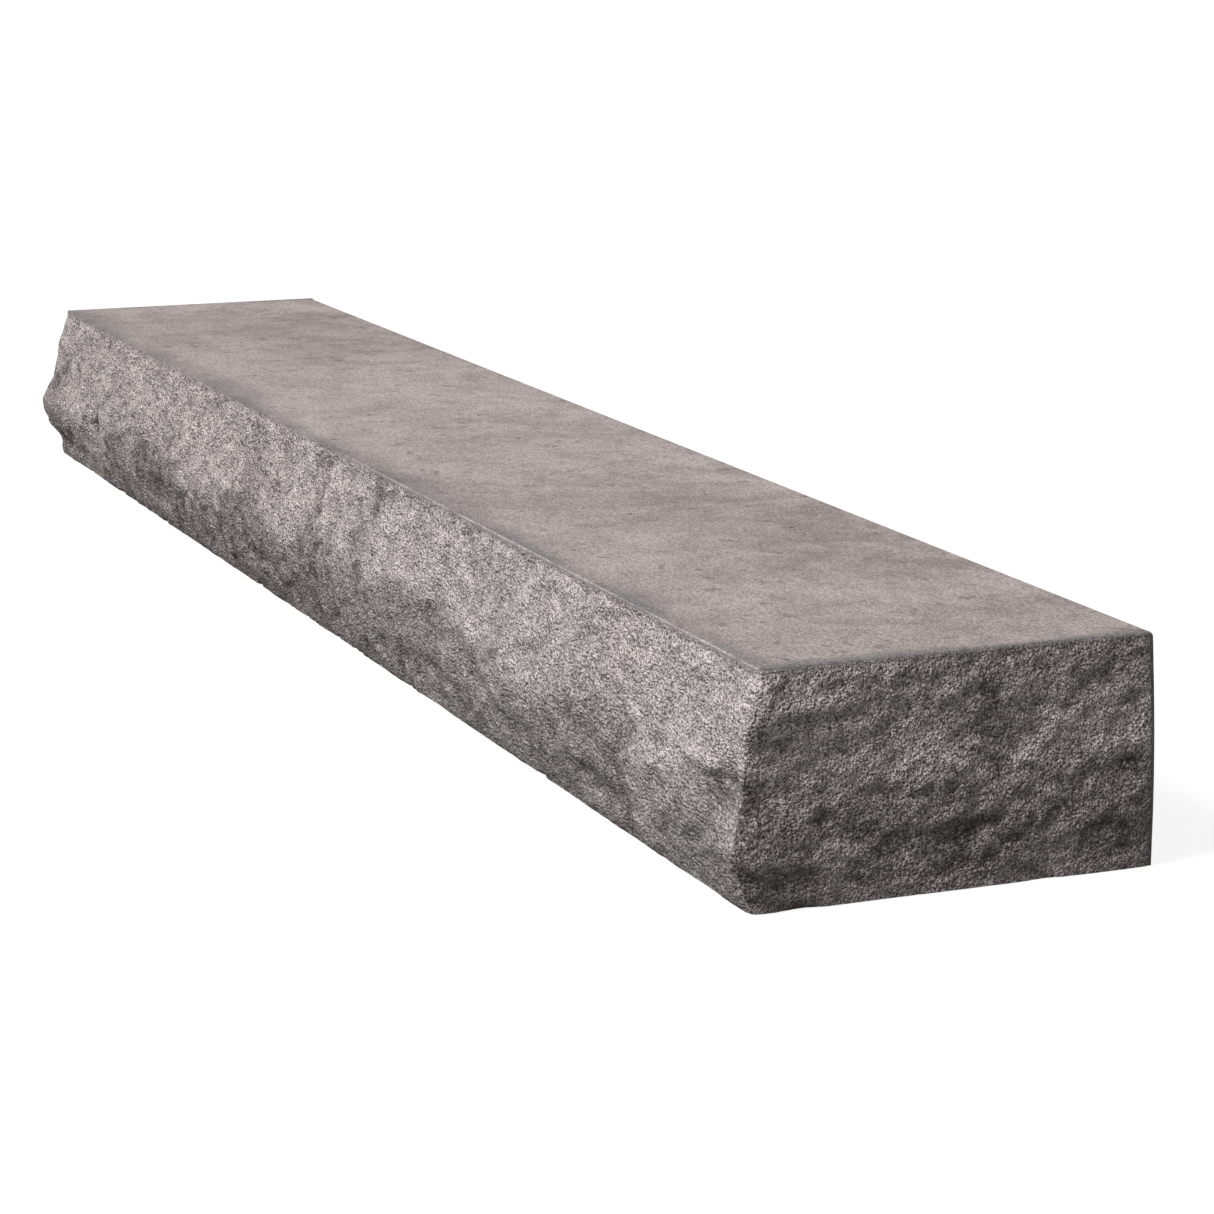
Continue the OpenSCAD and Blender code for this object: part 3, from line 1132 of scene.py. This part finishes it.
@dataclass
class ConcreteCasting:
    """The one concrete piece: flat top, rock front and ends, plain back and bed."""

    top_length: float = 1.766
    top_depth: float = 0.272
    grid: float = 0.0024
    fine_height: float = 0.010
    seed: int = 5
    front_arris: Arris = Arris(drop=0.0018, ease=0.0014, strip=0.0018)
    end_arris: Arris = Arris(drop=0.0022, ease=0.0019, strip=0.0)
    back_arris: Arris = Arris(drop=0.0036, ease=0.0, strip=0.0)
    front: RockFace = RockFace(swell=0.019, batter=0.0078, swell_place=0.6,
                               facet_depth=0.0024, chip_depth=0.0021, grit_depth=0.0008)
    end: RockFace = RockFace(swell=0.0015, batter=0.0074, swell_place=0.6,
                             facet_depth=0.0019, chip_depth=0.0014, grit_depth=0.0008)
    arris_rings: int = 6
    fine_rate: int = 3
    bed_insets: tuple[float, ...] = (0.020, 0.006)
    top_insets: tuple[float, ...] = (0.002, 0.006, 0.020)
    break_fade: float = 0.008
    least_relief: float = -0.0007
    nick_depth: float = 0.0035
    nick_height: float = 0.005
    arris_waver: float = 0.0004
    bite_reach: float = 0.008
    bite_spread: float = 0.005
    bite_share: float = 0.28
    formed_width: float = 0.002
    formed_fade: float = 0.008
    formed_swell: float = 0.003
    back_ease: float = 0.0024
    back_ease_width: float = 0.006
    recess_depth: float = 0.010
    recess_mouth_r: float = 0.024
    recess_foot_r: float = 0.019
    block_width: float = 0.040

    def __post_init__(self) -> None:
        """Reads the casting's place from its CAD node."""
        low, high = box_of("concrete_body")
        self.height = high.z
        self.back_y = high.y
        self.front_y = self.back_y - self.top_depth
        self.half = self.top_length / 2
        self.mid_x = (low.x + high.x) / 2
        self.skin = Skin(self.top_length, self.top_depth, self.grid,
                         {Side.FRONT: self.front_arris, Side.RIGHT_END: self.end_arris,
                          Side.BACK: self.back_arris, Side.LEFT_END: self.end_arris})

    def _knobs(self) -> list[Knob]:
        """Lists the lumps and hollows that shape the two front corners and the foot between.

        Returns:
            The knobs: place along and up, width, height and rise, in metres.
        """
        right, left = self.half, -self.half
        return [
            Knob(right, 0.126, 0.050, 0.020, 0.0045),
            Knob(right - 0.014, 0.069, 0.029, 0.017, -0.0098),
            Knob(right, 0.038, 0.024, 0.013, 0.0034),
            Knob(right, 0.020, 0.030, 0.010, -0.0008),
            Knob(right - 0.060, 0.084, 0.045, 0.005, 0.0030),
            Knob(left, 0.118, 0.100, 0.024, 0.0040),
            Knob(left, 0.056, 0.120, 0.020, 0.0100),
            Knob(left, 0.018, 0.120, 0.009, -0.0055),
            Knob(right - 0.240, 0.024, 0.038, 0.009, -0.0050),
            Knob(right - 0.560, 0.030, 0.055, 0.010, -0.0040),
            Knob(left + 0.190, 0.052, 0.030, 0.012, -0.0045),
            Knob(left + 0.420, 0.034, 0.045, 0.011, -0.0045),
        ]

    def _levels(self) -> tuple[np.ndarray, np.ndarray, np.ndarray, np.ndarray]:
        """Gives what each ring of the skin is, from the bed to the top.

        Returns:
            How far up the wall each ring is, how far up and how far over the arris it is
            (all 0 to 1), and how far in it lies when it is on the bed or the top.
        """
        turn = np.linspace(0, math.pi / 2, self.arris_rings + 1)[1:]
        bed, top = len(self.bed_insets), len(self.top_insets)
        fine_share = self.fine_height / self.height
        coarse = np.linspace(0, 1 - fine_share, round(self.height / self.grid))
        fine_count = round(self.fine_rate * self.fine_height / self.grid)
        fine = np.linspace(1 - fine_share, 1, fine_count + 1)[1:]
        rise = np.concatenate([coarse, fine])
        below = np.zeros(bed + len(rise))
        wall = np.concatenate([np.zeros(bed), rise, np.ones(len(turn) + top)])
        up = np.concatenate([below, np.sin(turn), np.ones(top)])
        over = np.concatenate([below, 1 - np.cos(turn), np.ones(top)])
        inset = np.concatenate([self.bed_insets, np.zeros(len(rise) + len(turn)),
                                self.top_insets])
        return wall, up, over, inset

    def _relief(self, noise: ReliefNoise, s: np.ndarray, z: np.ndarray, face: RockFace,
                arris: Arris) -> np.ndarray:
        """Works out one side's relief, with the formed strip under its arris.

        Args:
            noise: the unit's noise.
            s: distance along the skin.
            z: height of each point.
            face: the side's rock face.
            arris: the side's arris.

        Returns:
            How far each point stands out from the arris line above it.
        """
        rough = face.depth(noise, s, z, self.height)
        for knob in self._knobs():
            rough = rough + knob.shape(s, z)
        strip = self._strip_depth(noise, s, z, arris)
        broken = np.clip((self.height - arris.drop - strip - z) / self.break_fade, 0, 1)
        broken = broken * broken * (3 - 2 * broken)
        nicks = np.clip(noise.fractal(s / 0.025, 0 * z + 4.5, 3) - 0.35, 0, 1)
        rough = rough - self.nick_depth * nicks * np.clip(1 - z / self.nick_height, 0, 1)
        waver = self.arris_waver * noise.fractal(s / 0.05 + 60.0, 0 * z, 3)
        return arris.ease + waver + np.maximum(rough, self.least_relief) * broken

    def _strip_depth(self, noise: ReliefNoise, s: np.ndarray, z: np.ndarray,
                     arris: Arris) -> np.ndarray:
        """Works out how far down the formed strip under an arris reaches at each place.

        Args:
            noise: the unit's noise.
            s: distance along the skin.
            z: height of each point.
            arris: the side's arris.

        Returns:
            The strip's depth in metres.
        """
        waver = noise.fractal(s / 0.035 + 7.0, 0 * z + 1.5, 3)
        toward_right = np.clip((s + 0.1) / self.half, 0, 1.2)
        return arris.strip * np.clip(0.2 + 0.8 * toward_right + 0.45 * waver, 0, 2)

    def _bite(self, noise: ReliefNoise, s: np.ndarray, z: np.ndarray) -> np.ndarray:
        """Works out how much is broken off the two vertical arrises at the front.

        Args:
            noise: the unit's noise.
            s: distance along the skin.
            z: height of each point.

        Returns:
            The depth broken off at each point, in metres.
        """
        reach = self.bite_reach + self.bite_spread * np.clip(
            noise.fractal(z / 0.030 + 3 * np.sign(s), 0 * z + 9 * np.sign(s), 3), -0.8, 1.4)
        near = np.clip(1 - np.abs(np.abs(s) - self.half) / reach, 0, 1)
        return self.bite_share * reach * near**2

    def _rings(self) -> tuple[np.ndarray, dict[str, np.ndarray]]:
        """Works out every point of the skin and the masks that its finish reads.

        Returns:
            Points as rings by places by 3, and the masks by name.
        """
        noise, skin = ReliefNoise(self.seed), self.skin
        wall, up, over, inset = (v[:, None] for v in self._levels())
        z = wall * (self.height - skin.drop) + up * skin.drop
        s = skin.s + 0 * z
        front = self._relief(noise, s, z, self.front, self.front_arris)
        end = self._relief(noise, s, z, self.end, self.end_arris)
        calm = np.clip((skin.from_back() - self.formed_width) / self.formed_fade, 0, 1)
        down = 1 - z / self.height
        formed = self.end_arris.ease + self.end.batter * down
        formed = formed + self.formed_swell * np.sin(math.pi * down)
        end = end * calm + formed * (1 - calm)
        bite = self._bite(noise, s, z)
        soft_back = np.clip(1 - skin.from_back() / self.back_ease_width, 0, 1)**2
        soft_back = self.back_ease * soft_back
        out_front = (front - bite) * (1 - over)
        out_end = (end - bite - soft_back) * (1 - over)
        x, y = self._plan(out_front, out_end, over)
        middle_y = (self.front_y + self.back_y) / 2
        x = x * (1 - inset / self.half)
        y = middle_y + (y - middle_y) * (1 - inset / (self.top_depth / 2))
        points = np.stack([x + self.mid_x, y, z], axis=2)
        return points, self._masks(noise, s, z, over, inset, front, end, calm)

    def _plan(self, out_front: np.ndarray, out_end: np.ndarray,
              over: np.ndarray) -> tuple[np.ndarray, np.ndarray]:
        """Places the points in plan, so that neighbouring sides share their corners.

        Args:
            out_front: how far each point stands out if it is on the front.
            out_end: how far each point stands out if it is on an end.
            over: how far over the arris each ring is.

        Returns:
            The points' x from the middle of the unit, and their y.
        """
        skin = self.skin
        u = 2 * skin.share - 1
        right_front = out_end[:, [skin.first(Side.RIGHT_END)]]
        right_back = out_end[:, [skin.first(Side.BACK) - 1]]
        left_front = out_end[:, [len(skin.s) - 1]]
        left_back = out_end[:, [skin.first(Side.LEFT_END)]]
        front_right = out_front[:, [skin.first(Side.RIGHT_END)]]
        front_left = out_front[:, [0]]
        sides = [skin.on(side) + 0 * out_end > 0
                 for side in (Side.FRONT, Side.RIGHT_END, Side.BACK)]
        x = np.select(
            sides,
            [u * (self.half + np.where(u > 0, right_front, left_front)),
             self.half + out_end,
             -u * (self.half + np.where(u > 0, left_back, right_back))],
            -self.half - out_end)
        y = np.select(
            sides,
            [self.front_y - out_front,
             self.back_y - (1 - skin.share) * (self.top_depth + front_right),
             self.back_y - over * self.back_arris.drop + 0 * out_end],
            self.back_y - skin.share * (self.top_depth + front_left))
        return x, y

    def _masks(self, noise: ReliefNoise, s: np.ndarray, z: np.ndarray, over: np.ndarray,
               inset: np.ndarray, front: np.ndarray, end: np.ndarray,
               calm: np.ndarray) -> dict[str, np.ndarray]:
        """Works out where each kind of surface is.

        The masks are rock (broken faces), cast (back and bed), arris (a painted highlight along the
        front's rounded top edge), strip (the stained band under it) and hollow (painted shade in
        the relief's low places with painted light on its ridges, and painted shade under the arris
        at the top of the ends).

        Args:
            noise: the unit's noise.
            s: distance along the skin at each point.
            z: height of each point.
            over: how far over the arris each ring is.
            inset: how far in each ring lies.
            front: relief of the front.
            end: relief of the ends.
            calm: 0 on the formed strip of an end by the back, and 1 away from it.

        Returns:
            The masks by name, each with a value for each point.
        """
        skin = self.skin
        on_front, on_end, on_back = skin.on(Side.FRONT), skin.ends(), skin.on(Side.BACK)
        on_skin = inset == 0
        wall = on_skin & (over < 0.5)
        arris_foot = self.height - skin.drop
        toward_right = np.clip((s + 0.15) / (0.6 * self.half), 0, 1)
        ragged = noise.fractal(s / 0.007 + 80.0, 0 * z, 2)
        start = arris_foot + skin.drop * np.where(on_end, 0.45 + 0.35 * ragged, 0.1)
        rock = np.clip((start - z) / 0.0006, 0, 1) * ~on_back * on_skin
        rock = rock * np.where(on_end, 0.7 + 0.3 * calm, 1.0)
        cast = np.maximum((inset > 0) & (z < arris_foot / 2), on_back & wall) * 1.0
        # painted highlight: the pale line where the front's arris rounds over, broken here and
        # there
        highlight_breaks = np.clip(0.7 + 0.9 * noise.fractal(s / 0.06 + 30.0, 0 * z, 4), 0, 1)
        rounded = np.clip(1 - np.abs(over - 0.22) / 0.30, 0, 1) * on_skin * on_front
        depth = 1.5 * self._strip_depth(noise, s, z, self.front_arris)
        strip = np.clip(1.5 - (arris_foot - z) / (depth + 0.0004), 0, 1) * wall * on_front
        relief = np.where(on_front, front, end)
        # painted shade in the relief's low places, painted light on its ridges
        hollow = np.clip((self._blur(relief, 4) - relief) / 0.0016, -0.5, 1)
        # painted shade under the arris along the top of each end, strongest by the back
        far_back = np.clip(1.1 - skin.from_back() / self.top_depth, 0.35, 1)
        under_arris_shade = 2.3 * on_end * far_back * np.clip(z / self.height / 0.4 - 1.5, 0, 1)
        hollow = (hollow + under_arris_shade) * rock
        return {"rock": rock, "cast": cast, "arris": rounded * toward_right * highlight_breaks,
                "strip": strip * toward_right, "hollow": hollow}

    @staticmethod
    def _blur(relief: np.ndarray, reach: int, passes: int = 3) -> np.ndarray:
        """Averages the relief softly round each point.

        Args:
            relief: relief as rings by places.
            reach: how many points away one pass reaches.
            passes: how many times the average is taken.

        Returns:
            The averaged relief.
        """
        out = relief
        rings = np.arange(relief.shape[0])
        for _ in range(passes):
            steps = range(-reach, reach + 1)
            out = sum(np.roll(out, k, axis=1) for k in steps) / len(steps)
            out = sum(out[np.clip(rings + k, 0, rings[-1])] for k in steps) / len(steps)
        return out

    def _cap(self, points: np.ndarray, first: int) -> list[tuple[int, int, int]]:
        """Closes the flat top or the bed with triangles between the front and the rest.

        Args:
            points: the places of the innermost ring.
            first: number of the ring's first point.

        Returns:
            The triangles, seen anticlockwise from above.
        """
        skew = 0.35
        corner = self.skin.first(Side.RIGHT_END)
        near = list(range(corner + 1))
        far = [0, *range(len(points) - 1, corner - 1, -1)]
        reach = (points[:, 0] - self.mid_x) * (
            1 - skew * (points[:, 1] - self.front_y) / self.half)
        triangles, i, j = [], 0, 0
        while i < len(near) - 1 or j < len(far) - 1:
            near_next = reach[near[i + 1]] if i < len(near) - 1 else math.inf
            far_next = reach[far[j + 1]] if j < len(far) - 1 else math.inf
            if near_next <= far_next:
                triangles.append((near[i], near[i + 1], far[j]))
                i += 1
            else:
                triangles.append((near[i], far[j + 1], far[j]))
                j += 1
        whole = [t for t in triangles if len(set(t)) == 3]
        return [(a + first, b + first, c + first) for a, b, c in whole]

    def build(self) -> bpy.types.Object:
        """Builds the casting's mesh and cuts its recesses.

        Returns:
            The casting.
        """
        points, masks = self._rings()
        rings, places = points.shape[:2]
        a = np.arange(places)
        b = (a + 1) % places
        faces = []
        for k in range(rings - 1):
            low, high = k * places, (k + 1) * places
            faces += np.stack([low + a, low + b, high + b, high + a], axis=1).tolist()
        faces += self._cap(points[-1], (rings - 1) * places)
        faces += [t[::-1] for t in self._cap(points[0], 0)]
        data = bpy.data.meshes.new("casting")
        data.from_pydata(points.reshape(-1, 3).tolist(), [], faces)
        data.update()
        for name, values in masks.items():
            layer = data.attributes.new(name, "FLOAT", "POINT")
            layer.data.foreach_set("value", values.astype(np.float32).ravel())
        piece = bpy.data.objects.new("casting", data)
        bpy.context.scene.collection.objects.link(piece)
        self._cut(piece)
        piece.data.shade_smooth()
        piece.data.set_sharp_from_angle(angle=math.radians(70))
        return piece

    def _cut(self, piece: bpy.types.Object) -> None:
        """Cuts the socket recesses and the cover blocks' pockets.

        Args:
            piece: the casting.
        """
        cutter = Cutter()
        past = 0.1 * self.recess_depth
        flare = (self.recess_mouth_r - self.recess_foot_r) / self.recess_depth
        for name in ("lifting_socket_left", "lifting_socket_right"):
            low, high = box_of(name)
            x, z, radius = (low.x + high.x) / 2, (low.z + high.z) / 2, (high.z - low.z) / 2
            cutter.lathe(x, z, [(self.recess_mouth_r + flare * past,
                                 high.y + self.recess_depth + past),
                                (self.recess_foot_r, high.y), (radius, high.y),
                                (radius, low.y)])
        low, high = box_of("cover_blocks")
        half = self.block_width / 2
        for x in (low.x + half, (low.x + high.x) / 2, high.x - half):
            for y in (low.y + half, high.y - half):
                cutter.pocket(Vector((x, y, 0)), self.block_width, high.z)
        tool = cutter.to_object("recess_cutter")
        bpy.context.scene.collection.objects.link(tool)
        cut = piece.modifiers.new("recesses", "BOOLEAN")
        cut.operation = "DIFFERENCE"
        cut.solver = "EXACT"
        cut.object = tool
        bpy.context.view_layer.update()
        graph = bpy.context.evaluated_depsgraph_get()
        mesh = bpy.data.meshes.new_from_object(piece.evaluated_get(graph))
        piece.modifiers.clear()
        piece.data = mesh
        bpy.data.objects.remove(tool)

    def dress(self, piece: bpy.types.Object, effects: Effects) -> None:
        """Gives the casting its finish and its place in the frame.

        Args:
            piece: the casting.
            effects: the shared node groups.
        """
        finish = CastConcrete(height=self.height, front_y=self.front_y, back_y=self.back_y,
                              mid_x=self.mid_x, half_length=self.half)
        piece.data.materials.clear()
        piece.data.materials.append(finish.make(effects))
        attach(piece, "root")
        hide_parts("concrete_body")


# ---- the carried-over pieces -------------------------------------------------------


@dataclass
class Ironwork:
    """The steel and the cover blocks inside the casting, which keep their CAD shapes."""

    bars: tuple[str, ...] = ("front_top_bar", "front_bottom_bar", "rear_top_bar",
                             "rear_bottom_bar", "anchor_bar_left", "anchor_bar_right")
    sockets: tuple[str, ...] = ("lifting_socket_left", "lifting_socket_right")

    def dress(self, effects: Effects) -> dict[str, str]:
        """Gives every carried-over node its finish.

        Args:
            effects: the shared node groups.

        Returns:
            The name of each node's material.
        """
        bar = Steel(SteelKind.BLACK_BAR, clean=(0.16, 0.15, 0.145), rust=(0.24, 0.095, 0.04),
                    rust_share=0.55, roughness=0.45, ring_spacing=0.007,
                    ring_depth=0.0009).make(effects)
        hoop = Steel(SteelKind.HOOP_WIRE, clean=(0.20, 0.195, 0.19), rust=(0.22, 0.10, 0.05),
                     rust_share=0.42, roughness=0.42, ring_spacing=0.004,
                     ring_depth=0.0002).make(effects)
        tie = Steel(SteelKind.ANNEALED, clean=(0.10, 0.098, 0.10), rust=(0.18, 0.09, 0.05),
                    rust_share=0.35, roughness=0.5, ring_spacing=0.003,
                    ring_depth=0.0001).make(effects)
        zinc = Steel(SteelKind.ZINC, clean=(0.62, 0.63, 0.62), rust=(0.40, 0.38, 0.34),
                     rust_share=0.3, roughness=0.32, ring_spacing=0.002,
                     ring_depth=0.0006).make(effects)
        block = BlockConcrete().make(effects)
        given = {}
        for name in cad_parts:
            if name in self.bars:
                given[name] = bar
            elif name.startswith("hoop_"):
                given[name] = hoop
            elif name == "tie_wires":
                given[name] = tie
            elif name in self.sockets:
                given[name] = zinc
            elif name == "cover_blocks":
                given[name] = block
        for name, material in given.items():
            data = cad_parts[name].data
            data.materials.clear()
            data.materials.append(material)
        return {name: material.name for name, material in given.items()}


# ---- the studio --------------------------------------------------------------------


@dataclass
class Studio:
    """A pale floor, soft studio light and the camera."""

    near_x: float
    front_y: float
    camera_azimuth: float = 67.835
    camera_elevation: float = 12.436
    camera_from_corner: tuple[float, float, float] = (1.851, -0.854, 0.639)
    lens: float = 102.95
    floor_radius: float = 30.0
    floor_grey: float = 0.14
    floor_glow: float = 0.86
    sky: float = 0.25
    sun_towards: tuple[float, float, float] = (0.115, -0.61, 0.78)
    sun_strength: float = 3.1
    sun_softness: float = 14.0
    fill_towards: tuple[float, float, float] = (-0.42, 0.90, 0.10)
    fill_strength: float = 1.3
    fill_softness: float = 50.0

    def build(self) -> None:
        """Sets up the floor, the light and the camera."""
        self._floor()
        self._light()
        self._camera()
        bpy.context.scene.view_settings.view_transform = "Standard"

    def _floor(self) -> None:
        """Makes the floor, which looks pale but throws little light back up at the unit."""
        disc = bmesh.new()
        bmesh.ops.create_circle(disc, cap_ends=True, segments=96, radius=self.floor_radius)
        data = bpy.data.meshes.new("studio_floor")
        disc.to_mesh(data)
        disc.free()
        floor = bpy.data.objects.new("studio_floor", data)
        floor.location.z = -0.0004
        bpy.context.scene.collection.objects.link(floor)
        material = bpy.data.materials.new("studio_floor")
        material.use_nodes = True
        wiring = Wiring(material.node_tree)
        shader = material.node_tree.nodes["Principled BSDF"]
        path = wiring.add("ShaderNodeLightPath")
        wiring.link(shader.inputs["Base Color"], (self.floor_grey,) * 3)
        wiring.link(shader.inputs["Roughness"], 1.0)
        wiring.link(shader.inputs["Emission Color"], (1.0, 1.0, 1.0))
        wiring.link(shader.inputs["Emission Strength"],
                    wiring.math("MULTIPLY", path.outputs["Is Camera Ray"], self.floor_glow))
        data.materials.append(material)

    def _light(self) -> None:
        """Makes an even white sky, a soft key light in front and a weak fill behind."""
        world = bpy.data.worlds.new("studio_sky")
        bpy.context.scene.world = world
        world.use_nodes = True
        wiring = Wiring(world.node_tree)
        background = world.node_tree.nodes["Background"]
        path = wiring.add("ShaderNodeLightPath")
        strength = wiring.math("ADD", self.sky,
                               wiring.math("MULTIPLY", path.outputs["Is Camera Ray"],
                                           1.0 - self.sky))
        wiring.link(background.inputs["Color"], (1.0, 1.0, 1.0))
        wiring.link(background.inputs["Strength"], strength)
        self._sun("key_light", self.sun_towards, self.sun_strength, self.sun_softness)
        self._sun("fill_light", self.fill_towards, self.fill_strength, self.fill_softness)

    def _sun(self, name: str, towards: tuple[float, float, float], strength: float,
             softness: float) -> None:
        """Hangs one far light.

        Args:
            name: the light's name.
            towards: direction from the unit to the light.
            strength: the light's strength.
            softness: how wide the light looks from the unit, in degrees.
        """
        sun = bpy.data.lights.new(name, "SUN")
        sun.energy = strength
        sun.angle = math.radians(softness)
        lamp = bpy.data.objects.new(name, sun)
        lamp.rotation_mode = "QUATERNION"
        lamp.rotation_quaternion = Vector(towards).to_track_quat("Z", "Y")
        bpy.context.scene.collection.objects.link(lamp)

    def _camera(self) -> None:
        """Stands the camera off the near front corner and looks along the unit."""
        data = bpy.data.cameras.new("camera")
        data.lens = self.lens
        data.sensor_width = 36.0
        data.clip_end = 200.0
        camera = bpy.data.objects.new("camera", data)
        azimuth = math.radians(self.camera_azimuth)
        elevation = math.radians(self.camera_elevation)
        back = Vector((math.sin(azimuth) * math.cos(elevation),
                       -math.cos(azimuth) * math.cos(elevation), math.sin(elevation)))
        camera.location = Vector((self.near_x, self.front_y, 0)) + Vector(self.camera_from_corner)
        camera.rotation_mode = "QUATERNION"
        camera.rotation_quaternion = (-back).to_track_quat("-Z", "Y")
        bpy.context.scene.collection.objects.link(camera)
        bpy.context.scene.camera = camera


def main() -> None:
    """Builds the casting, dresses the ironwork and sets up the studio."""
    logging.basicConfig(level=logging.INFO, format="%(message)s")
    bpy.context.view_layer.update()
    effects = Effects()
    casting = ConcreteCasting()
    piece = casting.build()
    casting.dress(piece, effects)
    log.info("casting: %d faces", len(piece.data.polygons))
    for name, material in Ironwork().dress(effects).items():
        log.info("%s: %s", name, material)
    Studio(near_x=casting.mid_x + casting.half, front_y=casting.front_y).build()


if __name__ == "__main__":
    main()
